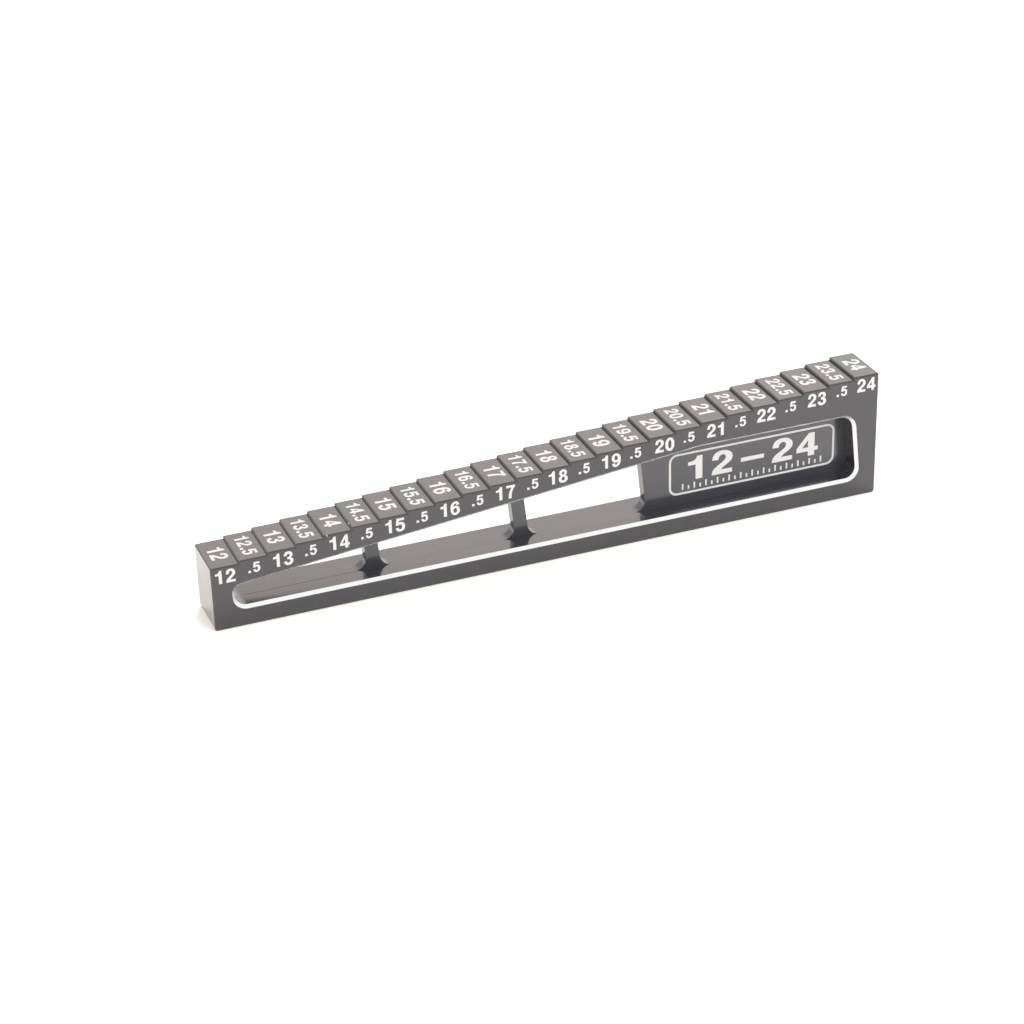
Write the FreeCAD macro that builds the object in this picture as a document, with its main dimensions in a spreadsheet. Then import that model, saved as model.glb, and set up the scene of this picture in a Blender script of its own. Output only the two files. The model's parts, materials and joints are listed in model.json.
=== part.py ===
"""Ride height gauge: one stepped bar milled from a single block of aluminium.

The bar is slid under a vehicle until a step touches. Each step stands half a
millimetre above the last, so its own height is the reading. A long window is
milled into both sides and leaves a thin web at mid thickness, which is opened
to two posts and a panel.

The frame: X runs from the low end (-X) to the high end, Y goes through the
thickness with the numbered front at -Y, and Z rises from the flat base. The
origin is the middle of the base. All sizes are millimetres.
"""
import FreeCAD, Part
import enum
import math
import os

import Sketcher

NODE = "gauge_body"

SIZES = {
    # The stair: the heights that the gauge reads.
    "step_count": 25,
    "step_pitch": 5.0,
    "step_rise": 0.5,
    "lowest_step": 12.0,
    # The bar.
    "thickness": 10.0,
    "edge_break": 0.2,
    "foot_round": 0.5,
    # The window, milled into both sides. Its ends and the web's uprights stand
    # square to the stair, and are placed where they meet the window's floor.
    "floor_thickness": 3.8,
    "rail_thickness": 4.65,
    "cap_thickness": 7.7,
    "low_end_wall": 4.2,
    "high_end_wall": 3.78,
    "cutter_radius": 2.0,
    "low_end_radius": 1.4,
    "high_end_radius": 2.4,
    "rim_chamfer": 0.54,
    # The web inside the window.
    "web_thickness": 2.0,
    "first_post": 28.55,
    "second_post": 55.95,
    "post_width": 2.5,
    "panel_edge": 81.0,
    "web_radius": 2.0,
}

# Sizes that follow from the driving ones.
LENGTH = "(sizes.step_count * sizes.step_pitch)"
HEIGHT = "(sizes.lowest_step + (sizes.step_count - 1) * sizes.step_rise)"
STAIR_ANGLE = "atan(sizes.step_rise / sizes.step_pitch)"


class At(enum.IntEnum):
    """Which point of a line or a mark a sketch constraint takes hold of."""
    START = 1
    END = 2


# How sketch constraints name the horizontal axis and the origin on it.
HORIZONTAL_AXIS = -1
ORIGIN = (HORIZONTAL_AXIS, At.START)

# Two places closer than this are the same place.
SAME_PLACE = 1e-4


def add_size_sheet(doc):
    """Puts the driving dimensions in a spreadsheet, one aliased cell each."""
    sheet = doc.addObject("Spreadsheet::Sheet", "sizes")
    for row, (alias, size) in enumerate(SIZES.items(), start=1):
        sheet.set(f"A{row}", str(size))
        sheet.setAlias(f"A{row}", alias)
    doc.recompute()
    return sheet


def size_of(owner, expression):
    """The number that an expression over the sheet gives."""
    result = owner.evalExpression(expression)
    return float(getattr(result, "Value", result))


def add_sketch(body, name):
    """A sketch on the body's upright middle plane: its x is X, its y is Z."""
    plane = next(p for p in body.Origin.OriginFeatures if p.Role == "XZ_Plane")
    sketch = body.newObject("Sketcher::SketchObject", name)
    sketch.AttachmentSupport = [(plane, "")]
    sketch.MapMode = "FlatFace"
    return sketch


def dimension(sketch, name, kind, *where, size):
    """Adds a named dimension and binds it to an expression over the sheet."""
    value = size_of(sketch, size)
    index = sketch.addConstraint(Sketcher.Constraint(kind, *where, value))
    sketch.renameConstraint(index, name)
    sketch.setExpression(f"Constraints.{name}", size)


def add_line(sketch, start, end, construction=False):
    """Adds a straight line between two (x, z) points."""
    line = Part.LineSegment(FreeCAD.Vector(*start, 0), FreeCAD.Vector(*end, 0))
    return sketch.addGeometry(line, construction)


def add_polygon(sketch, points):
    """Adds a closed outline with its corners tied, and returns its lines."""
    lines = [add_line(sketch, *pair) for pair in zip(points, points[1:] + points[:1])]
    for line, following in zip(lines, lines[1:] + lines[:1]):
        sketch.addConstraint(Sketcher.Constraint("Coincident", line, At.END, following, At.START))
    return lines


def lay(sketch, direction, *lines):
    """Makes each line Horizontal or Vertical."""
    for line in lines:
        sketch.addConstraint(Sketcher.Constraint(direction, line))


def add_stair_line(sketch):
    """A construction line through the outer corners of all the steps."""
    half = size_of(sketch, f"{LENGTH} / 2")
    low = size_of(sketch, "sizes.lowest_step")
    rise = size_of(sketch, "sizes.step_count * sizes.step_rise")
    line = add_line(sketch, (-half, low), (half, low + rise), construction=True)
    dimension(sketch, "stair_start", "DistanceX", line, At.START, *ORIGIN, size=f"{LENGTH} / 2")
    dimension(sketch, "stair_height", "DistanceY", *ORIGIN, line, At.START, size="sizes.lowest_step")
    dimension(sketch, "stair_run", "DistanceX", line, At.START, line, At.END, size=LENGTH)
    dimension(sketch, "stair_climb", "DistanceY", line, At.START, line, At.END,
              size="sizes.step_count * sizes.step_rise")
    return line


def square_to_stair(sketch, stair, line, name, foot):
    """Stands a line square to the stair, crossing the floor at foot from the low end."""
    sketch.addConstraint(Sketcher.Constraint("Perpendicular", line, stair))
    on_floor = FreeCAD.Vector(size_of(sketch, f"{foot} - {LENGTH} / 2"),
                              size_of(sketch, "sizes.floor_thickness"), 0)
    mark = sketch.addGeometry(Part.Point(on_floor), True)
    sketch.addConstraint(Sketcher.Constraint("PointOnObject", mark, At.START, line))
    dimension(sketch, f"{name}_level", "DistanceY", *ORIGIN, mark, At.START, size="sizes.floor_thickness")
    dimension(sketch, f"{name}_foot", "DistanceX", stair, At.START, mark, At.START, size=foot)


def upright_point(sketch, foot, height):
    """A first guess at a point on an upright: x for its foot, leaning with the stair."""
    lean = size_of(sketch, f"({height} - sizes.floor_thickness) * tan({STAIR_ANGLE})")
    return size_of(sketch, f"{foot} - {LENGTH} / 2") - lean, size_of(sketch, height)


def mill_through(body, sketch, name, before):
    """Pockets the sketch through the whole thickness, and checks that it cut."""
    pocket = body.newObject("PartDesign::Pocket", name)
    pocket.Profile = sketch
    pocket.SideType = "Symmetric"
    pocket.setExpression("Length", "2 * sizes.thickness")
    body.Document.recompute()
    if pocket.Shape.Volume >= before.Shape.Volume:
        raise RuntimeError(f"{name} cuts nothing")
    return pocket


def add_blank(body):
    """The block that the bar is milled from, as high as the highest step."""
    sketch = add_sketch(body, "blank_side")
    half = size_of(sketch, f"{LENGTH} / 2")
    top = size_of(sketch, HEIGHT)
    base, high_end, cap, low_end = add_polygon(
        sketch, [(-half, 0), (half, 0), (half, top), (-half, top)])
    lay(sketch, "Horizontal", base, cap)
    lay(sketch, "Vertical", high_end, low_end)
    sketch.addConstraint(Sketcher.Constraint("PointOnObject", base, At.START, HORIZONTAL_AXIS))
    dimension(sketch, "half_length", "DistanceX", base, At.START, *ORIGIN, size=f"{LENGTH} / 2")
    dimension(sketch, "length", "DistanceX", base, At.START, base, At.END, size=LENGTH)
    dimension(sketch, "height", "DistanceY", high_end, At.START, high_end, At.END, size=HEIGHT)
    blank = body.newObject("PartDesign::Pad", "blank")
    blank.Profile = sketch
    blank.SideType = "Symmetric"
    blank.setExpression("Length", "sizes.thickness")
    body.Document.recompute()
    return blank


def mill_stair(body, blank):
    """Clears the space above the lowest step and repeats the cut up the stair.

    The cut also sweeps back over the step below, which is already clear, so no
    two cuts share an upright face.
    """
    sketch = add_sketch(body, "first_tread")
    stair = add_stair_line(sketch)
    half = size_of(sketch, f"{LENGTH} / 2")
    pitch = size_of(sketch, "sizes.step_pitch")
    low = size_of(sketch, "sizes.lowest_step")
    top = low + size_of(sketch, "sizes.step_count * sizes.step_rise")
    tread, riser, above, behind = add_polygon(
        sketch, [(-half - pitch, low), (-half + pitch, low), (-half + pitch, top), (-half - pitch, top)])
    lay(sketch, "Horizontal", tread, above)
    lay(sketch, "Vertical", riser, behind)
    dimension(sketch, "tread_height", "DistanceY", *ORIGIN, tread, At.START, size="sizes.lowest_step")
    dimension(sketch, "tread_end", "DistanceX", stair, At.START, tread, At.END, size="sizes.step_pitch")
    dimension(sketch, "sweep", "DistanceX", tread, At.START, tread, At.END, size="2 * sizes.step_pitch")
    dimension(sketch, "clearing", "DistanceY", riser, At.START, riser, At.END,
              size="sizes.step_count * sizes.step_rise")
    tread_cut = mill_through(body, sketch, "tread_cut", blank)

    stairs = body.newObject("PartDesign::LinearPattern", "stairs")
    stairs.Originals = [tread_cut]
    stairs.Direction = (sketch, ["Axis0"])
    stairs.setExpression("Occurrences", "sizes.step_count - 1")
    stairs.setExpression(
        "Length", "(sizes.step_count - 2) * sqrt(sizes.step_pitch ^ 2 + sizes.step_rise ^ 2)")
    body.Tip = stairs
    body.Document.recompute()
    return stairs


def mill_window(body, stairs):
    """Cuts the window right through and gives its corners the cutter's rounds."""
    sketch = add_sketch(body, "window_side")
    stair = add_stair_line(sketch)
    low_foot = "sizes.low_end_wall"
    high_foot = f"({LENGTH} - sizes.high_end_wall)"
    ceiling = f"({HEIGHT} - sizes.cap_thickness)"
    low_ceiling = "(sizes.lowest_step - sizes.rail_thickness)"
    bend = f"({ceiling} - {low_ceiling}) / tan({STAIR_ANGLE})"
    floor, high_wall, level, slope, low_wall = add_polygon(sketch, [
        upright_point(sketch, low_foot, "sizes.floor_thickness"),
        upright_point(sketch, high_foot, "sizes.floor_thickness"),
        upright_point(sketch, high_foot, ceiling),
        (size_of(sketch, f"{bend} - {LENGTH} / 2"), size_of(sketch, ceiling)),
        upright_point(sketch, low_foot, low_ceiling),
    ])
    lay(sketch, "Horizontal", floor, level)
    square_to_stair(sketch, stair, low_wall, "low_wall", low_foot)
    square_to_stair(sketch, stair, high_wall, "high_wall", high_foot)
    sketch.addConstraint(Sketcher.Constraint("Parallel", slope, stair))
    dimension(sketch, "rail", "Distance", slope, At.END, stair, size="sizes.rail_thickness")
    dimension(sketch, "floor", "DistanceY", *ORIGIN, floor, At.START, size="sizes.floor_thickness")
    dimension(sketch, "ceiling", "DistanceY", *ORIGIN, level, At.START, size=ceiling)
    window = mill_through(body, sketch, "window", stairs)
    corners = {
        "cutter_radius": [floor, high_wall, slope],
        "high_end_radius": [level],
        "low_end_radius": [low_wall],
    }
    for radius, lines in corners.items():
        starts = [sketch.Geometry[line].StartPoint for line in lines]
        window = finish_edges(body, window, "Fillet", f"window_{radius}", radius,
                              edges_across(window, starts))
    return window


def add_web(body):
    """Bridges the window at mid thickness with two posts and a panel.

    Each piece of the web runs on into the floor, the rail and the high end, so
    it is one solid with them.
    """
    sketch = add_sketch(body, "web_side")
    stair = add_stair_line(sketch)
    pieces = {
        "first_post": ("sizes.first_post", "(sizes.first_post + sizes.post_width)"),
        "second_post": ("sizes.second_post", "(sizes.second_post + sizes.post_width)"),
        "panel": ("sizes.panel_edge", f"({LENGTH} - sizes.high_end_wall / 2)"),
    }
    for name, (low_foot, high_foot) in pieces.items():
        add_web_piece(sketch, stair, name, low_foot, high_foot)
    web = body.newObject("PartDesign::Pad", "web")
    web.Profile = sketch
    web.AllowMultiFace = True
    web.SideType = "Symmetric"
    web.setExpression("Length", "sizes.web_thickness")
    body.Document.recompute()
    return web


def add_web_piece(sketch, stair, name, low_foot, high_foot):
    """Outlines one piece of the web, with its ends buried in the floor and the rail."""
    buried_floor = "sizes.floor_thickness / 2"
    buried_rail = f"(sizes.lowest_step - sizes.rail_thickness / 2 + {{foot}} * tan({STAIR_ANGLE}))"
    root, high_side, crown, low_side = add_polygon(sketch, [
        upright_point(sketch, low_foot, buried_floor),
        upright_point(sketch, high_foot, buried_floor),
        upright_point(sketch, high_foot, buried_rail.format(foot=high_foot)),
        upright_point(sketch, low_foot, buried_rail.format(foot=low_foot)),
    ])
    lay(sketch, "Horizontal", root)
    sketch.addConstraint(Sketcher.Constraint("Parallel", crown, stair))
    square_to_stair(sketch, stair, low_side, f"{name}_low", low_foot)
    square_to_stair(sketch, stair, high_side, f"{name}_high", high_foot)
    dimension(sketch, f"{name}_root", "DistanceY", *ORIGIN, root, At.START, size=buried_floor)
    dimension(sketch, f"{name}_crown", "Distance", crown, At.START, stair, size="sizes.rail_thickness / 2")


def runs_across(edge):
    """Whether an edge is straight and goes through the thickness, along Y."""
    ends = [corner.Point for corner in edge.Vertexes]
    return len(ends) == 2 and math.hypot(ends[0].x - ends[1].x, ends[0].z - ends[1].z) < SAME_PLACE


def edges_across(feature, points):
    """The edges along Y that pass through the given (x, z) points of a sketch."""
    found = []
    for edge in filter(runs_across, feature.Shape.Edges):
        end = edge.Vertexes[0].Point
        if any(math.hypot(end.x - p.x, end.z - p.y) < SAME_PLACE for p in points):
            found.append(edge)
    return found


def web_corners(feature, web_thickness):
    """The edges where the web's uprights meet the floor and the rail."""
    return [edge for edge in filter(runs_across, feature.Shape.Edges)
            if abs(edge.Length - web_thickness) < SAME_PLACE]


def side_faces(feature, half_thickness):
    """The front and the back face of the bar."""
    flat = [face for face in feature.Shape.Faces if face.BoundBox.YLength < SAME_PLACE]
    return [face for face in flat
            if abs(abs(face.BoundBox.Center.y) - half_thickness) < SAME_PLACE]


def step_noses(feature):
    """The edges along Y at the low end of every step's top, and at the bar's high end."""
    noses = []
    for edge in filter(runs_across, feature.Shape.Edges):
        end = edge.Vertexes[0].Point
        for face in feature.Shape.ancestorsOfType(edge, Part.Face):
            is_top = face.BoundBox.ZLength < SAME_PLACE and face.normalAt(0, 0).z > 0
            nose_places = (face.BoundBox.XMin, feature.Shape.BoundBox.XMax)
            if is_top and any(abs(end.x - place) < SAME_PLACE for place in nose_places):
                noses.append(edge)
    return noses


def finish_edges(body, base, kind, name, size, edges):
    """Adds a Fillet or a Chamfer on the base feature's edges, its size from the sheet."""
    names = [f"Edge{number}" for number, edge in enumerate(base.Shape.Edges, start=1)
             if any(edge.isSame(other) for other in edges)]
    feature = body.newObject(f"PartDesign::{kind}", name)
    feature.Base = (base, names)
    feature.setExpression({"Fillet": "Radius", "Chamfer": "Size"}[kind], f"sizes.{size}")
    body.Document.recompute()
    return feature


def round_foot(body, base):
    """Rounds the base's two ends, where the bar would catch as it slides."""
    box = base.Shape.BoundBox
    ends = [FreeCAD.Vector(place, box.ZMin, 0) for place in (box.XMin, box.XMax)]
    return finish_edges(body, base, "Fillet", "foot_rounds", "foot_round", edges_across(base, ends))


def chamfer_window_rims(body, base, half_thickness):
    """Chamfers the window's rim on the front and the back."""
    rims = []
    for face in side_faces(base, half_thickness):
        for wire in face.Wires:
            if not wire.isSame(face.OuterWire):
                rims.extend(wire.Edges)
    return finish_edges(body, base, "Chamfer", "window_rims", "rim_chamfer", rims)


def break_outer_edges(body, base, half_thickness):
    """Breaks the outline on both sides, and the nose of every step."""
    edges = step_noses(base)
    for face in side_faces(base, half_thickness):
        edges.extend(face.OuterWire.Edges)
    return finish_edges(body, base, "Chamfer", "broken_edges", "edge_break", edges)


def check_document(doc, body):
    """Stops the build if any feature failed or the solid isn't sound."""
    for item in doc.Objects:
        if "Invalid" in item.State or "Error" in item.State:
            raise RuntimeError(f"{item.Name} failed: {item.State}")
    if body.Shape.isNull() or not body.Shape.isValid():
        raise RuntimeError("the body is not a valid shape")
    if len(body.Shape.Solids) != 1:
        raise RuntimeError("the body is not one solid")


def main():
    doc = FreeCAD.newDocument("ride_height_gauge")
    sheet = add_size_sheet(doc)
    half_thickness = sheet.thickness / 2
    body = doc.addObject("PartDesign::Body", NODE)
    body.Label = NODE

    solid = add_blank(body)
    solid = mill_stair(body, solid)
    solid = round_foot(body, solid)
    solid = mill_window(body, solid)
    solid = add_web(body)
    solid = finish_edges(body, solid, "Fillet", "web_corners", "web_radius",
                         web_corners(solid, sheet.web_thickness))
    solid = chamfer_window_rims(body, solid, half_thickness)
    body.Tip = break_outer_edges(body, solid, half_thickness)
    doc.recompute()

    body.Placement = FreeCAD.Placement()
    check_document(doc, body)
    os.makedirs("parts", exist_ok=True)
    body.Shape.exportStep(f"parts/{body.Label}.step")


main()
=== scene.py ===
"""Ride height gauge: the finish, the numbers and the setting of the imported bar.

The bar's shape comes from the CAD model. This script copies it, gives its
outside, its milled window and its bright rims their own finishes, and marks it
as a laser does: a number on every step and in front of it, and the range on the
panel. It also has the three worn spots. Everything is in metres, with X along the
bar and the front at -Y.
"""
import json
import math

import bmesh
import bpy
from mathutils import Euler, Matrix, Vector

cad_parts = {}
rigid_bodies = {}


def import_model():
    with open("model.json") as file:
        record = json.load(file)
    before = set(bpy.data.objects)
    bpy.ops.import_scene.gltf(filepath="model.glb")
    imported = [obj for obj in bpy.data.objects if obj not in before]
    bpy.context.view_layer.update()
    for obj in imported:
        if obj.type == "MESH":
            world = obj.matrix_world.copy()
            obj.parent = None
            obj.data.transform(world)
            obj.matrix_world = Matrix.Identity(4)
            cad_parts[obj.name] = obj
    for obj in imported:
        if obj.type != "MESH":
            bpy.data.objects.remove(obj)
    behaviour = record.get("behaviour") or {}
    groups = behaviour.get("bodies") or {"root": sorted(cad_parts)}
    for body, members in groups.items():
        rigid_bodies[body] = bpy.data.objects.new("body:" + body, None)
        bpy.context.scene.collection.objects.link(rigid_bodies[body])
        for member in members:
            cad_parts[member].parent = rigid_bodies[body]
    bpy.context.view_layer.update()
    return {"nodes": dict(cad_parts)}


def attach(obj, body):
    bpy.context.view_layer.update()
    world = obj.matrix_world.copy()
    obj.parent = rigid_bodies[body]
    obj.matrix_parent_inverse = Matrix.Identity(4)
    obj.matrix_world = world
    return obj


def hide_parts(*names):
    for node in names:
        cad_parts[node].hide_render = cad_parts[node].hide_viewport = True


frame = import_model()

MM = 0.001

# The stair, as the CAD model has it.
STEP_COUNT = 25
STEP_PITCH = 5.0 * MM
STEP_RISE = 0.5 * MM
LOWEST_STEP = 12.0 * MM
LENGTH = STEP_COUNT * STEP_PITCH
FRONT = -5.0 * MM
PANEL_FACE = -1.0 * MM

# A rim's faces lean half way: this much of their normal points at the front or the
# back. Each of them reaches further in than any round on the bar does.
RIM_LEAN = (0.6, 0.8)
ROUND_DEPTH = 0.21 * MM

# What lies further in than this is the milled window: from the front and the back,
# from the two ends, and from the base and the steps.
SKIN_DEPTH = 0.1 * MM
END_WIDTH = 2.0 * MM
RAIL_HEIGHT = 2.5 * MM

# The places of the bar's own finishes among its materials.
SKIN, RECESS, RIM = range(3)

# The laser takes this much off the surface, and its marks come out bolder than
# drawn by this much all round, in hundredths of their height.
MARK_DEPTH = 0.02 * MM
MARK_SPREAD = 0.95

# Two corners closer than this are one, and so are two planes.
SAME_PLACE = 0.001 * MM
SAME_PLANE = 0.01 * MM

# Faces that lean less than this from each other are parts of one round.
ROUND_BELOW = math.radians(38)

# How many straight lines draw a stretch between two points of a round outline, and
# a round corner of the panel's frame.
STRETCH_LINES = 3
CORNER_LINES = 6

# The outlines of the digits in hundredths of their height, from the baseline up.
# A third value of 1 rounds the outline there, and the others are corners.
HUNDREDTH = 0.01
SIX = [
    [
        (66, 76), (47.5, 73.5), (44, 82.5, 1), (37.5, 85.5, 1), (27, 78, 1),
        (23, 57), (30, 64.5, 1), (41, 67.5, 1), (60, 58, 1), (68.5, 33.5, 1),
        (60, 8.5, 1), (37, -1.5, 1), (12, 11, 1), (4, 48, 1), (13, 88, 1),
        (38, 101.5, 1), (58, 95, 1),
    ],
    [
        (36.5, 52, 1), (46, 47, 1), (49.5, 33, 1), (46.5, 19, 1), (37, 14, 1),
        (27.5, 19.5, 1), (23.5, 34, 1), (27, 47.5, 1),
    ],
]
DIGITS = {
    "digit_0": [
        [
            (37, 101.5, 1), (61, 88, 1), (69.5, 50, 1), (61, 12, 1),
            (37, -1.5, 1), (13, 12, 1), (4.5, 50, 1), (13, 88, 1),
        ],
        [
            (37, 85.5, 1), (46.5, 76, 1), (50, 50, 1), (46.5, 24, 1),
            (37, 14.5, 1), (27.5, 24, 1), (24, 50, 1), (27.5, 76, 1),
        ],
    ],
    "digit_1": [
        [
            (33, 0), (52.5, 0), (52.5, 100), (38, 100), (33, 88, 1),
            (24, 80.5, 1), (9.5, 78), (9.5, 64.5), (33, 64.5),
        ],
    ],
    "digit_2": [
        [
            (4, 0), (67, 0), (67, 17), (31, 17), (38, 28, 1), (54, 42, 1),
            (64, 54, 1), (68, 70, 1), (60, 91, 1), (37, 101.5, 1), (14, 92, 1),
            (5, 65), (23.5, 63.5), (27, 79, 1), (37, 85.5, 1), (46, 80.5, 1),
            (48.5, 70, 1), (45, 59, 1), (33, 46, 1), (14, 29, 1), (6, 14, 1),
        ],
    ],
    "digit_3": [
        [
            (6, 71), (24.5, 69), (28, 81, 1), (36, 85.5, 1), (44.5, 81, 1),
            (46.5, 72, 1), (42, 61.5, 1), (29, 58.5), (29, 44), (43, 41.5, 1),
            (48.5, 30, 1), (44, 18.5, 1), (35.5, 14.5, 1), (27, 18.5, 1),
            (23.5, 29.5), (4.5, 27), (12, 8, 1), (35.5, -1.5, 1), (60, 8, 1),
            (68.5, 30, 1), (64, 45, 1), (53, 53, 1), (62, 62, 1), (65.5, 75, 1),
            (58, 93, 1), (36, 101.5, 1), (14, 93, 1),
        ],
    ],
    "digit_4": [
        [
            (40, 0), (59, 0), (59, 20.5), (70, 20.5), (70, 36.5), (59, 36.5),
            (59, 100), (42, 100), (3.5, 38), (3.5, 20.5), (40, 20.5),
        ],
        [(40, 36.5), (40, 72), (18.5, 36.5)],
    ],
    "digit_5": [
        [
            (13, 100), (64, 100), (64, 83), (28, 83), (24.8, 65), (40, 69, 1),
            (61, 60, 1), (69, 34, 1), (60, 9.5, 1), (35.5, -1.5, 1), (13, 7, 1),
            (4, 26.5), (23.5, 28.5), (27.5, 18, 1), (35.5, 14, 1),
            (45.5, 19.5, 1), (49.5, 33.5, 1), (45.5, 48, 1), (35, 53, 1),
            (27.5, 51, 1), (21.5, 46), (5.5, 48.5),
        ],
    ],
    "digit_6": SIX,
    "digit_7": [
        [
            (7, 100), (68, 100), (68, 86), (54, 66, 1), (45, 38, 1), (41.5, 0),
            (22.5, 0), (26, 36, 1), (34.5, 62, 1), (47, 83), (7, 83),
        ],
    ],
    "digit_8": [
        [
            (37, 101.5, 1), (57, 93, 1), (64.5, 75, 1), (61, 62, 1),
            (53, 54, 1), (64, 45, 1), (69, 29, 1), (61, 8, 1), (37, -1.5, 1),
            (13, 8, 1), (5, 29, 1), (10, 45, 1), (21, 54, 1), (13, 62, 1),
            (9.5, 75, 1), (17, 93, 1),
        ],
        [
            (37, 86, 1), (44.5, 82, 1), (46.5, 73, 1), (44, 64, 1),
            (37, 60.5, 1), (30, 64, 1), (27.5, 73, 1), (29.5, 82, 1),
        ],
        [
            (37, 45.5, 1), (46, 41, 1), (49, 30, 1), (46, 18.5, 1),
            (37, 14, 1), (28, 18.5, 1), (25, 30, 1), (28, 41, 1),
        ],
    ],
    # A nine is a six turned half round.
    "digit_9": [
        [(73.5 - x, 100 - y, *rounded) for x, y, *rounded in loop] for loop in SIX
    ],
    "point": [[(8, 0), (30, 0), (30, 21), (8, 21)]],
}

# The stamps stand in the order of their names, each digit at its own number. A half
# reads as a point and a five.
HALF_INDEX = 5
POINT_INDEX = 10

# From one digit to the next, in digit heights, before the digits are stretched.
DIGIT_STEP = 0.772

# How a stamp is turned: upright on the front, across a step with its top towards
# the high end, or upright and facing along the bar.
ON_FRONT = (math.pi / 2, 0.0, 0.0)
ON_STEP = (0.0, 0.0, -math.pi / 2)
ALONG_BAR = (math.pi / 2, 0.0, math.pi / 2)

# The numbers that stand visibly off their row's even place, by their reading, and
# how far towards the high end in millimetres.
FRONT_SHIFTS = {
    12.0: -0.15, 16.5: 0.15, 17.0: 0.2, 17.5: 0.35, 19.5: -0.25, 20.0: 0.25,
    21.0: 0.25, 22.5: -0.15, 24.0: -0.15,
}
STEP_SHIFTS = {18.0: -0.2, 18.5: -0.15, 19.0: -0.2, 19.5: -0.15}

# Each row of numbers: where its first digit starts, from the low upper corner of
# its step at mid thickness, how it is turned and which numbers are shifted. Then
# come the height of its digits and how far they are stretched sideways, whether it
# is on the half steps, whether it gives the whole part, and the way from the point
# to its five, counted as from one digit to the next.
NUMBER_ROWS = {
    "front_whole": {
        "Start": (0.69 * MM, FRONT, -3.05 * MM),
        "Turn": ON_FRONT,
        "Shifts": FRONT_SHIFTS,
        "Digit Height": 2.47 * MM,
        "Digit Stretch": 1.03,
        "Half Steps": False,
        "Whole Part": True,
        "Point Step": 0.386,
    },
    "front_half": {
        "Start": (1.39 * MM, FRONT, -2.62 * MM),
        "Turn": ON_FRONT,
        "Shifts": FRONT_SHIFTS,
        "Digit Height": 1.87 * MM,
        "Digit Stretch": 1.0,
        "Half Steps": True,
        "Whole Part": False,
        "Point Step": 0.49,
    },
    "step_whole": {
        "Start": (1.2 * MM, 2.42 * MM, 0.0),
        "Turn": ON_STEP,
        "Shifts": STEP_SHIFTS,
        "Digit Height": 2.94 * MM,
        "Digit Stretch": 1.06,
        "Half Steps": False,
        "Whole Part": True,
        "Point Step": 0.386,
    },
    "step_half": {
        "Start": (1.4 * MM, 3.62 * MM, 0.0),
        "Turn": ON_STEP,
        "Shifts": STEP_SHIFTS,
        "Digit Height": 2.47 * MM,
        "Digit Stretch": 1.07,
        "Half Steps": True,
        "Whole Part": True,
        "Point Step": 0.386,
    },
}

# The range on the panel, in millimetres: a frame, the lowest and highest reading
# with a dash between, and a tick for every step. The ticks are given in metres, as
# their tree takes them.
FRAME_LEFT = 23.0
FRAME_RIGHT = 56.0
FRAME_BOTTOM = 5.5
FRAME_TOP = 13.7
FRAME_CORNER = 1.6
FRAME_LINE = 0.4
READING = {26.2: "digit_1", 31.2: "digit_2", 43.2: "digit_2", 48.2: "digit_4"}
READING_BOTTOM = 8.1
READING_HEIGHT = 4.5
READING_STRETCH = 1.4
DASH_LEFT = 37.2
DASH_RIGHT = 41.8
DASH_BOTTOM = 9.59
DASH_TOP = 10.39
TICKS = {
    "Start": (25.7 * MM, PANEL_FACE, 6.35 * MM),
    "Pitch": 1.15 * MM,
    "Tick Width": 0.32 * MM,
    "Depth": 2 * MARK_DEPTH,
    "Length": 1.2 * MM,
    "Short By": 0.45 * MM,
}

# The worn spots: a line that the cutter left along the window's floor, a dent in
# the edge of one step and a bare chip on another. Each has its outline, how far it
# reaches to both sides and its place in millimetres, and how it is turned.
CUTTER_LINE = {
    "outline": [(-0.12, -0.025), (0.12, -0.025), (0.12, 0.1), (-0.12, 0.1)],
    "reach": 10.3,
    "place": (-45.7, -1.27, 3.8),
    "turn": ALONG_BAR,
}
DENT = {
    "outline": [(-0.25, 0.1), (-0.06, -0.47), (0.16, 0.03), (0.1, 0.4)],
    "reach": 0.2,
    "place": (-37.5, -3.05, 14.5),
    "turn": ON_FRONT,
}
CHIP = {
    "outline": [(-0.03, -0.29), (0.23, 0.03), (0.1, 0.4), (-0.4, -0.1)],
    "reach": 0.065,
    "place": (-41.93, -5.0, 14.0),
    "turn": ALONG_BAR,
}

# Noise stays between these for the most part.
NOISE_LOW = 0.3
NOISE_HIGH = 0.7

# The photograph's camera: its lens and film in millimetres, where it stands in
# metres, and which way the picture's right, its foot and its middle lie.
FOCAL_LENGTH = 90.8
FILM_WIDTH = 36.0
CAMERA_PLACE = (-0.147235, -0.375317, 0.218823)
CAMERA_RIGHT = Vector((0.93112, -0.36371, -0.02685))
CAMERA_DOWN = Vector((-0.19133, -0.42448, -0.88499))
CAMERA_AHEAD = Vector((0.31049, 0.82917, -0.46483))

# The floor is a square that reaches this far each way, just under the bar, and
# glows where it is seen.
FLOOR_REACH = 4.0
FLOOR_DROP = 0.02 * MM
FLOOR_COLOUR = (1.0, 0.99, 0.97, 1)
FLOOR_GLOW = (0.46, 0.425, 0.4, 1)

# How strongly the room lights the bar. Where it is seen it has a strength of 1.
ROOM_LIGHT = 0.5

# The lamps: where each stands, how wide it is in metres, its power in watts, its
# colour and whether the bar's gloss shows it.
LAMPS = {
    "key": {
        "place": (0.35, -0.75, 0.6), "size": 0.5, "power": 4.8,
        "colour": (1, 1, 1), "mirrored": False,
    },
    "top": {
        "place": (0.35, 0.7, 1.0), "size": 0.6, "power": 7.2,
        "colour": (1, 1, 1), "mirrored": False,
    },
    "back": {
        "place": (0.5, 1.33, 0.75), "size": 1.4, "power": 3.55,
        "colour": (1, 0.81, 0.65), "mirrored": True,
    },
}


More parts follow.
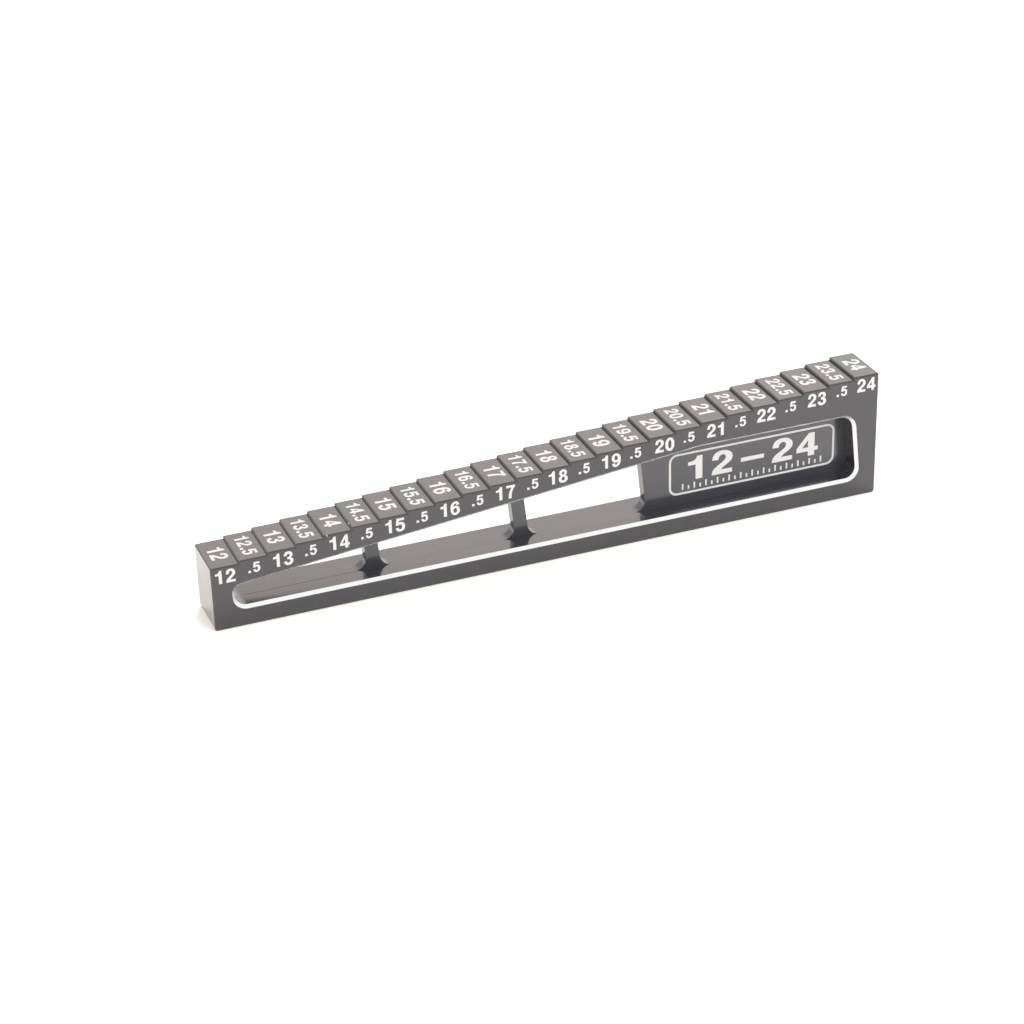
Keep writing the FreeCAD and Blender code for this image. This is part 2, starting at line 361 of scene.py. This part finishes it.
def new_piece(name, mesh):
    """An object at the origin with that mesh."""
    piece = bpy.data.objects.new(name, mesh)
    bpy.context.scene.collection.objects.link(piece)
    return piece


def bake(piece):
    """The piece's mesh as its modifiers or its curves make it."""
    shown = piece.evaluated_get(bpy.context.evaluated_depsgraph_get())
    return bpy.data.meshes.new_from_object(shown)


def drop(*pieces):
    """Removes working pieces."""
    for piece in pieces:
        bpy.data.objects.remove(piece)


def widen(loop, by):
    """The outline moved outwards all round, or inwards where by is negative."""
    before = loop[-1:] + loop[:-1]
    after = loop[1:] + loop[:1]
    turning = sum(p[0] * q[1] - q[0] * p[1] for p, q in zip(loop, after))
    outwards = by if turning > 0 else -by
    moved = []
    for last, here, following in zip(before, loop, after):
        arriving = Vector((here[0] - last[0], here[1] - last[1])).normalized()
        leaving = Vector((following[0] - here[0], following[1] - here[1])).normalized()
        along = arriving + leaving
        push = outwards / (1 + arriving.dot(leaving))
        moved.append((here[0] + along.y * push, here[1] - along.x * push, *here[2:]))
    return moved


def rounded_box(left, bottom, right, top, corner):
    """The outline of an upright box with round corners."""
    loop = []
    for quarter in range(4):
        middle_x = right - corner if quarter in (0, 3) else left + corner
        middle_y = top - corner if quarter in (0, 1) else bottom + corner
        for line in range(CORNER_LINES + 1):
            turn = math.radians(90 * quarter + 90 * line / CORNER_LINES)
            x = middle_x + corner * math.cos(turn)
            loop.append((x, middle_y + corner * math.sin(turn)))
    return loop


def add_outline(curve, loop, unit):
    """Adds a closed outline to a flat curve."""
    spline = curve.splines.new("BEZIER")
    spline.bezier_points.add(len(loop) - 1)
    spline.use_cyclic_u = True
    spline.resolution_u = STRETCH_LINES
    for point, (x, y, *rounded) in zip(spline.bezier_points, loop):
        point.co = (x * unit, y * unit, 0)
        kind = "AUTO" if rounded else "VECTOR"
        point.handle_left_type = kind
        point.handle_right_type = kind


def make_stamp(name, loops, unit=HUNDREDTH, reach=MARK_DEPTH):
    """A solid with that outline and holes, that reaches as far in as out."""
    curve = bpy.data.curves.new(name, "CURVE")
    curve.dimensions = "2D"
    curve.fill_mode = "BOTH"
    curve.extrude = reach
    for loop in loops:
        add_outline(curve, loop, unit)
    drawn = new_piece(name + "_outline", curve)
    mesh = bake(drawn)
    drop(drawn)
    weld(mesh, SAME_PLACE)
    return mesh


def make_digit(name, loops):
    """A digit's stamp one unit high, as bold as the laser makes it."""
    outside, *holes = loops
    bold = [widen(outside, MARK_SPREAD)] + [widen(hole, -MARK_SPREAD) for hole in holes]
    return make_stamp(name, bold)


def set_in_place(mesh, place, turn, size=(1.0, 1.0, 1.0)):
    """A copy of a stamp, sized, turned and moved to its place in millimetres."""
    copy = mesh.copy()
    copy.transform(Matrix.LocRotScale(Vector(place) * MM, Euler(turn), Vector(size)))
    return copy


def weld(mesh, distance):
    """Merges the corners of a mesh that lie together."""
    bm = bmesh.new()
    bm.from_mesh(mesh)
    bmesh.ops.remove_doubles(bm, verts=bm.verts, dist=distance)
    bmesh.ops.recalc_face_normals(bm, faces=bm.faces)
    bm.to_mesh(mesh)
    bm.free()


def feed(tree, node, inputs):
    """Gives each of those inputs its value, or links it to the socket that feeds it."""
    for name, value in inputs.items():
        if isinstance(value, bpy.types.NodeSocket):
            tree.links.new(value, node.inputs[name])
        else:
            node.inputs[name].default_value = value


def add_node(tree, kind, inputs=None, **settings):
    """Adds a node with those settings, and feeds its inputs."""
    node = tree.nodes.new(kind)
    for name, value in settings.items():
        setattr(node, name, value)
    feed(tree, node, inputs or {})
    return node


def work_out(tree, operation, *values):
    """The result of a Math node."""
    inputs = dict(enumerate(values))
    return add_node(tree, "ShaderNodeMath", inputs, operation=operation).outputs[0]


def whole_number(tree, value):
    """That whole number, from a node that holds it."""
    return add_node(tree, "FunctionNodeInputInt", integer=value).outputs[0]


def both(tree, first, second):
    """True where both are."""
    inputs = {0: first, 1: second}
    node = add_node(tree, "FunctionNodeBooleanMath", inputs, operation="AND")
    return node.outputs[0]


def start_tree(name, sizes):
    """A Geometry Nodes tree with those named inputs, and its input node."""
    tree = bpy.data.node_groups.new(name, "GeometryNodeTree")
    for size, kind in sizes.items():
        kind = "NodeSocket" + kind
        tree.interface.new_socket(size, in_out="INPUT", socket_type=kind)
    kind = "NodeSocketGeometry"
    tree.interface.new_socket("Geometry", in_out="OUTPUT", socket_type=kind)
    return tree, add_node(tree, "NodeGroupInput")


def end_tree(tree, parts, material):
    """Joins the parts, makes them real and gives them their material."""
    joined = add_node(tree, "GeometryNodeJoinGeometry")
    for part in parts:
        tree.links.new(part, joined.inputs[0])
    real = add_node(tree, "GeometryNodeRealizeInstances", {0: joined.outputs[0]})
    inputs = {"Geometry": real.outputs[0], "Material": material}
    finished = add_node(tree, "GeometryNodeSetMaterial", inputs)
    add_node(tree, "NodeGroupOutput", {0: finished.outputs[0]})


def stair_points(tree, given):
    """The points handed in, each moved to the low upper corner of its step."""
    index = add_node(tree, "GeometryNodeInputIndex").outputs[0]
    half = work_out(tree, "MULTIPLY", given["Step Count"], -0.5)
    low_end = work_out(tree, "MULTIPLY", half, given["Step Pitch"])
    along = work_out(tree, "MULTIPLY_ADD", index, given["Step Pitch"], low_end)
    up = work_out(tree, "MULTIPLY_ADD", index, given["Step Rise"], given["Lowest Step"])
    corner = add_node(tree, "ShaderNodeCombineXYZ", {"X": along, "Z": up})
    inputs = {"Geometry": given["Points"], "Offset": corner.outputs[0]}
    return add_node(tree, "GeometryNodeSetPosition", inputs).outputs[0]


def read_step(tree, given):
    """The tens, the units and whether there is a half, of each step's height."""
    index = add_node(tree, "GeometryNodeInputIndex").outputs[0]
    climbed = work_out(tree, "MULTIPLY", index, given["Step Rise"])
    height = work_out(tree, "ADD", climbed, given["Lowest Step"])
    # A hundredth more keeps a whole number from falling to the one below.
    reading = work_out(tree, "MULTIPLY_ADD", height, 1 / MM, HUNDREDTH)
    tens = work_out(tree, "FLOOR", work_out(tree, "DIVIDE", reading, 10.0))
    units = work_out(tree, "FLOOR", work_out(tree, "MODULO", reading, 10.0))
    # What is left is near nothing, or near a half.
    left = work_out(tree, "MODULO", reading, 1.0)
    has_half = work_out(tree, "GREATER_THAN", left, 0.25)
    return tens, units, has_half


def stamp_digit(tree, given, points, where, digit, selection):
    """Sets one stamp at each selected step, that far along the reading."""
    turn = add_node(tree, "FunctionNodeEulerToRotation", {0: given["Turn"]}).outputs[0]
    width = work_out(tree, "MULTIPLY", given["Digit Height"], given["Digit Stretch"])
    scale = {"X": width, "Y": given["Digit Height"], "Z": 1.0}
    inputs = {
        "Collection": given["Stamps"],
        "Separate Children": True,
        "Reset Children": True,
    }
    info = add_node(tree, "GeometryNodeCollectionInfo", inputs)
    inputs = {
        "Points": points,
        "Selection": selection,
        "Instance": info.outputs[0],
        "Pick Instance": True,
        "Instance Index": digit,
        "Rotation": turn,
        "Scale": add_node(tree, "ShaderNodeCombineXYZ", scale).outputs[0],
    }
    stamps = add_node(tree, "GeometryNodeInstanceOnPoints", inputs)
    distance = work_out(tree, "MULTIPLY", where, width)
    along = add_node(tree, "ShaderNodeCombineXYZ", {"X": distance})
    inputs = {"Vector": along.outputs[0], "Rotation": turn}
    turned = add_node(tree, "FunctionNodeRotateVector", inputs)
    inputs = {0: turned.outputs[0], 1: given["Start"]}
    place = add_node(tree, "ShaderNodeVectorMath", inputs, operation="ADD")
    inputs = {
        "Instances": stamps.outputs[0],
        "Translation": place.outputs[0],
        "Local Space": False,
    }
    return add_node(tree, "GeometryNodeTranslateInstances", inputs).outputs[0]


def number_row_tree():
    """The tree that numbers the steps in one row, from each step's own height."""
    tree, group = start_tree(
        "number_row",
        {
            "Points": "Geometry", "Step Count": "Int", "Step Pitch": "Float",
            "Step Rise": "Float", "Lowest Step": "Float", "Start": "Vector",
            "Turn": "Vector", "Digit Height": "Float", "Digit Stretch": "Float",
            "Half Steps": "Bool", "Whole Part": "Bool", "Point Step": "Float",
            "Stamps": "Collection", "Material": "Material",
        },
    )
    given = group.outputs
    points = stair_points(tree, given)
    tens, units, has_half = read_step(tree, given)
    in_row = work_out(tree, "COMPARE", has_half, given["Half Steps"], 0.1)
    whole = both(tree, in_row, given["Whole Part"])
    half = both(tree, in_row, given["Half Steps"])
    to_point = work_out(tree, "MULTIPLY", given["Whole Part"], 2 * DIGIT_STEP)
    to_five = work_out(tree, "ADD", to_point, given["Point Step"])
    point, five = (whole_number(tree, index) for index in (POINT_INDEX, HALF_INDEX))
    parts = [
        stamp_digit(tree, given, points, 0.0, tens, whole),
        stamp_digit(tree, given, points, DIGIT_STEP, units, whole),
        stamp_digit(tree, given, points, to_point, point, half),
        stamp_digit(tree, given, points, to_five, five, half),
    ]
    end_tree(tree, parts, given["Material"])
    return tree


def tick_row_tree():
    """The tree that draws an upright tick for every step, each second one short."""
    tree, group = start_tree(
        "tick_row",
        {
            "Step Count": "Int", "Pitch": "Float", "Start": "Vector",
            "Tick Width": "Float", "Depth": "Float", "Length": "Float",
            "Short By": "Float", "Material": "Material",
        },
    )
    given = group.outputs
    stride = add_node(tree, "ShaderNodeCombineXYZ", {"X": given["Pitch"]})
    inputs = {
        "Count": given["Step Count"],
        "Start Location": given["Start"],
        "Offset": stride.outputs[0],
    }
    points = add_node(tree, "GeometryNodeMeshLine", inputs, mode="OFFSET")
    index = add_node(tree, "GeometryNodeInputIndex").outputs[0]
    is_short = work_out(tree, "MODULO", index, 2.0)
    shorter = work_out(tree, "MULTIPLY", is_short, given["Short By"])
    length = work_out(tree, "SUBTRACT", given["Length"], shorter)
    cube = add_node(tree, "GeometryNodeMeshCube", {"Size": (1, 1, 1)})
    inputs = {"Geometry": cube.outputs[0], "Translation": (0, 0, 0.5)}
    standing = add_node(tree, "GeometryNodeTransform", inputs)
    size = {"X": given["Tick Width"], "Y": given["Depth"], "Z": length}
    inputs = {
        "Points": points.outputs[0],
        "Instance": standing.outputs[0],
        "Scale": add_node(tree, "ShaderNodeCombineXYZ", size).outputs[0],
    }
    ticks = add_node(tree, "GeometryNodeInstanceOnPoints", inputs)
    end_tree(tree, [ticks.outputs[0]], given["Material"])
    return tree


def run_tree(name, tree, values, points=()):
    """The mesh that a Geometry Nodes tree makes from those values and points."""
    start = bpy.data.meshes.new(name)
    start.from_pydata(points, [], [])
    piece = new_piece(name, start)
    modifier = piece.modifiers.new(name, "NODES")
    modifier.node_group = tree
    for item in tree.interface.items_tree:
        if item.name in values:
            modifier[item.identifier] = values[item.name]
    mesh = bake(piece)
    drop(piece)
    return mesh


def shifted_points(shifts):
    """A point for each step, off the origin by as much as its number is shifted."""
    readings = [(LOWEST_STEP + STEP_RISE * step) / MM for step in range(STEP_COUNT)]
    return [(shifts.get(round(reading, 1), 0.0) * MM, 0, 0) for reading in readings]


def number_stamps(stamps, material):
    """The stamps for every number on the stair, as meshes."""
    shelf = bpy.data.collections.new("stamps")
    for name, mesh in stamps.items():
        shelf.objects.link(bpy.data.objects.new(name, mesh))
    tree = number_row_tree()
    shared = {
        "Step Count": STEP_COUNT,
        "Step Pitch": STEP_PITCH,
        "Step Rise": STEP_RISE,
        "Lowest Step": LOWEST_STEP,
        "Stamps": shelf,
        "Material": material,
    }
    meshes = [
        run_tree(name, tree, shared | row, shifted_points(row["Shifts"]))
        for name, row in NUMBER_ROWS.items()
    ]
    drop(*list(shelf.objects))
    bpy.data.collections.remove(shelf)
    return meshes


def panel_marks(stamps, material):
    """The stamps for the range on the panel, as meshes."""
    outline = (FRAME_LEFT, FRAME_BOTTOM, FRAME_RIGHT, FRAME_TOP, FRAME_CORNER)
    outside = rounded_box(*outline)
    frame_stamp = make_stamp("frame_line", [outside, widen(outside, -FRAME_LINE)], MM)
    dash = [
        (DASH_LEFT, DASH_BOTTOM), (DASH_RIGHT, DASH_BOTTOM),
        (DASH_RIGHT, DASH_TOP), (DASH_LEFT, DASH_TOP),
    ]
    dash_stamp = make_stamp("dash", [dash], MM)
    drawn = (frame_stamp, dash_stamp)
    on_panel = (0.0, PANEL_FACE / MM, 0.0)
    meshes = [set_in_place(stamp, on_panel, ON_FRONT) for stamp in drawn]
    size = (READING_HEIGHT * READING_STRETCH * MM, READING_HEIGHT * MM, 1.0)
    for x, name in READING.items():
        place = (x, PANEL_FACE / MM, READING_BOTTOM)
        meshes.append(set_in_place(stamps[name], place, ON_FRONT, size))
    values = TICKS | {"Step Count": STEP_COUNT, "Material": material}
    meshes.append(run_tree("ticks", tick_row_tree(), values))
    return meshes


def cut_tool(name, outline, reach, place, turn):
    """The solid that takes out one of the worn spots."""
    stamp = make_stamp(name, [outline], MM, reach * MM)
    return set_in_place(stamp, place, turn)


def join(groups):
    """One mesh of several, each group of them in its own material."""
    bm = bmesh.new()
    joined = bpy.data.meshes.new("stamps")
    for index, (material, meshes) in enumerate(groups):
        joined.materials.append(material)
        for mesh in meshes:
            known = len(bm.faces)
            bm.from_mesh(mesh)
            bm.faces.ensure_lookup_table()
            for face in bm.faces[known:]:
                face.material_index = index
    bm.to_mesh(joined)
    bm.free()
    return joined


def is_rim(corners, normal):
    """A window's rim leans half way, and reaches further in than a round does."""
    depths = [abs(corner.y) for corner in corners]
    leans = RIM_LEAN[0] < abs(normal.y) < RIM_LEAN[1]
    return leans and max(depths) - min(depths) > ROUND_DEPTH


def is_in_window(middle):
    """Inside the milled window, and not on the skin round it."""
    slope = STEP_RISE / STEP_PITCH
    ceiling = LOWEST_STEP - RAIL_HEIGHT + slope * (middle.x + LENGTH / 2)
    behind_face = abs(middle.y) < -FRONT - SKIN_DEPTH
    between_ends = abs(middle.x) < LENGTH / 2 - END_WIDTH
    return behind_face and between_ends and RAIL_HEIGHT < middle.z < ceiling


def copy_bar(finishes):
    """The CAD bar's mesh, merged, with its three finishes where they belong."""
    mesh = frame["nodes"]["gauge_body"].data.copy()
    mesh.materials.clear()
    for finish in finishes:
        mesh.materials.append(finish)
    bm = bmesh.new()
    bm.from_mesh(mesh)
    bmesh.ops.remove_doubles(bm, verts=bm.verts, dist=SAME_PLACE)
    bm.normal_update()
    for face in bm.faces:
        corners = [vert.co for vert in face.verts]
        if is_rim(corners, face.normal):
            face.material_index = RIM
        elif is_in_window(face.calc_center_median()):
            face.material_index = RECESS
        else:
            face.material_index = SKIN
    bm.to_mesh(mesh)
    bm.free()
    return mesh


def engrave(mesh, stamps):
    """The bar with the stamps taken out of it."""
    bar = new_piece("bar", mesh)
    tool = new_piece("tool", stamps)
    cut = bar.modifiers.new("marks", "BOOLEAN")
    cut.operation = "DIFFERENCE"
    cut.solver = "EXACT"
    cut.material_mode = "TRANSFER"
    cut.object = tool
    marked = bake(bar)
    drop(bar, tool)
    return marked


def flat_areas(mesh):
    """For each face, the area of the whole flat that it lies in."""
    keys = []
    totals = {}
    for face in mesh.polygons:
        offset = face.normal.dot(face.center)
        key = (*(round(n, 3) for n in face.normal), round(offset / SAME_PLANE))
        keys.append(key)
        totals[key] = totals.get(key, 0.0) + face.area
    return [totals[key] for key in keys]


def shade(mesh):
    """Shades rounds smoothly while the flats beside them stay flat."""
    areas = flat_areas(mesh)
    around = [[] for _ in mesh.vertices]
    for face in mesh.polygons:
        for vertex in face.vertices:
            around[vertex].append(face.index)
    limit = math.cos(ROUND_BELOW)
    normals = []
    for face in mesh.polygons:
        for vertex in face.vertices:
            total = Vector()
            for other in around[vertex]:
                facing = mesh.polygons[other].normal
                if facing.dot(face.normal) > limit:
                    total += facing * areas[other]
            normals.append(total.normalized())
    mesh.shade_smooth()
    mesh.normals_split_custom_set(normals)


def clear_tree(owner):
    """The node tree of a material or the world, emptied."""
    owner.use_nodes = True
    owner.node_tree.nodes.clear()
    return owner.node_tree


def start_material(name):
    """A material with nothing but a shader in it, its tree and that shader."""
    material = bpy.data.materials.new(name)
    tree = clear_tree(material)
    shader = add_node(tree, "ShaderNodeBsdfPrincipled")
    add_node(tree, "ShaderNodeOutputMaterial", {"Surface": shader.outputs[0]})
    return material, tree, shader


def noise(tree, size, stretch=(1, 1, 1), detail=2.0):
    """Noise from 0 to 1 with patches of that size in metres."""
    place = add_node(tree, "ShaderNodeTexCoord").outputs["Object"]
    scale = Vector(1 / (size * s) for s in stretch)
    place = add_node(tree, "ShaderNodeMapping", {"Vector": place, "Scale": scale})
    inputs = {"Vector": place.outputs[0], "Scale": 1.0, "Detail": detail}
    return add_node(tree, "ShaderNodeTexNoise", inputs).outputs["Fac"]


def spread(tree, value, low, high):
    """A value from low to high, as the noise goes."""
    inputs = {"Value": value, 1: NOISE_LOW, 2: NOISE_HIGH, 3: low, 4: high}
    return add_node(tree, "ShaderNodeMapRange", inputs).outputs[0]


def blend_colours(tree, value, low, high):
    """A colour from low to high, as the noise goes."""
    ramp = add_node(tree, "ShaderNodeValToRGB", {"Fac": value})
    first, last = ramp.color_ramp.elements
    first.position = NOISE_LOW
    first.color = (*low, 1)
    last.position = NOISE_HIGH
    last.color = (*high, 1)
    return ramp.outputs[0]


def black_anodised():
    """The outside: blasted fine and dyed black, with a soft dusty gloss."""
    material, tree, shader = start_material("black_anodised_skin")
    grain = noise(tree, 0.12 * MM, detail=3.0)
    clouds = noise(tree, 6.0 * MM)
    bump = {"Height": grain, "Strength": 0.25, "Distance": 0.01 * MM}
    darkest, palest = (0.026, 0.025, 0.03), (0.039, 0.037, 0.044)
    inputs = {
        "Base Color": blend_colours(tree, grain, darkest, palest),
        "Roughness": spread(tree, clouds, 0.2, 0.25),
        "Normal": add_node(tree, "ShaderNodeBump", bump).outputs[0],
        "IOR": 1.5,
        "Coat Weight": 0.85,
        "Coat Roughness": 0.15,
    }
    feed(tree, shader, inputs)
    return material


def milled_recess():
    """Inside the window: the cutter leaves it smoother, with streaks along it."""
    material, tree, shader = start_material("black_anodised_milled")
    streaks = noise(tree, 0.45 * MM, stretch=(60, 1, 60), detail=3.0)
    darkest, palest = (0.035, 0.035, 0.044), (0.068, 0.067, 0.08)
    inputs = {
        "Base Color": blend_colours(tree, streaks, darkest, palest),
        "Roughness": spread(tree, streaks, 0.24, 0.12),
        "IOR": 1.7,
        "Coat Weight": 0.42,
        "Coat Roughness": 0.12,
    }
    feed(tree, shader, inputs)
    return material


def bright_rim():
    """The rims, cut through the black to bare aluminium after it was dyed."""
    material, tree, shader = start_material("bare_aluminium_rim")
    lines = noise(tree, 0.2 * MM, stretch=(40, 1, 1))
    darkest, palest = (0.97, 0.97, 0.975), (1.0, 1.0, 1.0)
    inputs = {
        "Base Color": blend_colours(tree, lines, darkest, palest),
        "Roughness": spread(tree, lines, 0.28, 0.4),
        "Metallic": 0.68,
    }
    feed(tree, shader, inputs)
    return material


def laser_mark():
    """The marks: the laser burns the dye out and leaves a rough white."""
    material, tree, shader = start_material("laser_white")
    specks = noise(tree, 0.08 * MM, detail=3.0)
    darkest, palest = (0.84, 0.825, 0.81), (0.93, 0.917, 0.903)
    inputs = {
        "Base Color": blend_colours(tree, specks, darkest, palest),
        "Roughness": spread(tree, specks, 0.55, 0.75),
    }
    feed(tree, shader, inputs)
    return material


def seen_rays(tree):
    """1 for the rays that show a thing, straight or in gloss, and 0 for the rest."""
    rays = add_node(tree, "ShaderNodeLightPath").outputs
    in_gloss = work_out(tree, "ADD", rays["Is Glossy Ray"], rays["Is Transmission Ray"])
    return work_out(tree, "ADD", rays["Is Camera Ray"], in_gloss)


def add_floor():
    """A plain pale floor, so bright where it is seen that only deep shadow shows."""
    material = bpy.data.materials.new("white_floor")
    tree = clear_tree(material)
    paper = add_node(tree, "ShaderNodeBsdfDiffuse", {"Color": FLOOR_COLOUR})
    glow = {"Color": FLOOR_GLOW, "Strength": seen_rays(tree)}
    glowing = add_node(tree, "ShaderNodeEmission", glow)
    inputs = {0: paper.outputs[0], 1: glowing.outputs[0]}
    surface = add_node(tree, "ShaderNodeAddShader", inputs)
    add_node(tree, "ShaderNodeOutputMaterial", {"Surface": surface.outputs[0]})
    corners = [(-1, -1), (1, -1), (1, 1), (-1, 1)]
    places = [(x * FLOOR_REACH, y * FLOOR_REACH, -FLOOR_DROP) for x, y in corners]
    mesh = bpy.data.meshes.new("floor")
    mesh.from_pydata(places, [], [(0, 1, 2, 3)])
    mesh.materials.append(material)
    new_piece("floor", mesh)


def light_room():
    """An even pale room, white where it is seen."""
    world = bpy.data.worlds.new("studio")
    bpy.context.scene.world = world
    tree = clear_tree(world)
    seen = seen_rays(tree)
    strength = work_out(tree, "MULTIPLY_ADD", seen, 1 - ROOM_LIGHT, ROOM_LIGHT)
    inputs = {"Color": (1, 1, 1, 1), "Strength": strength}
    room = add_node(tree, "ShaderNodeBackground", inputs)
    add_node(tree, "ShaderNodeOutputWorld", {"Surface": room.outputs[0]})


def add_lamp(name, place, size, power, colour, mirrored):
    """A soft square lamp that points at the bar."""
    lamp = bpy.data.lights.new(name, "AREA")
    lamp.shape = "SQUARE"
    lamp.size = size
    lamp.energy = power
    lamp.color = colour
    held = bpy.data.objects.new(name, lamp)
    held.location = place
    held.rotation_euler = (-Vector(place)).to_track_quat("-Z", "Y").to_euler()
    held.visible_glossy = mirrored
    bpy.context.scene.collection.objects.link(held)


def add_camera():
    """The photograph's view: from the front, a little left and above."""
    lens = bpy.data.cameras.new("camera")
    lens.sensor_width = FILM_WIDTH
    lens.lens = FOCAL_LENGTH
    lens.clip_start = 0.01
    lens.clip_end = 20.0
    turn = Matrix((CAMERA_RIGHT, -CAMERA_DOWN, -CAMERA_AHEAD)).transposed()
    camera = bpy.data.objects.new("camera", lens)
    camera.matrix_world = Matrix.Translation(CAMERA_PLACE) @ turn.to_4x4()
    bpy.context.scene.collection.objects.link(camera)
    bpy.context.scene.camera = camera


def build_bar():
    """The finished bar, in place of the CAD one."""
    outer, recess = black_anodised(), milled_recess()
    rim, mark = bright_rim(), laser_mark()
    stamps = {name: make_digit(name, loops) for name, loops in DIGITS.items()}
    marks = number_stamps(stamps, mark) + panel_marks(stamps, mark)
    groups = [
        (mark, marks),
        (recess, [cut_tool("cutter_line", **CUTTER_LINE)]),
        (rim, [cut_tool("dent", **DENT), cut_tool("chip", **CHIP)]),
    ]
    mesh = engrave(copy_bar([outer, recess, rim]), join(groups))
    mesh.name = "numbered_bar"
    shade(mesh)
    bar = new_piece("numbered_bar", mesh)
    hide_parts("gauge_body")
    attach(bar, "root")


add_camera()
add_floor()
light_room()
for lamp_name, lamp_values in LAMPS.items():
    add_lamp(lamp_name, **lamp_values)
build_bar()
bpy.context.scene.view_settings.view_transform = "Standard"
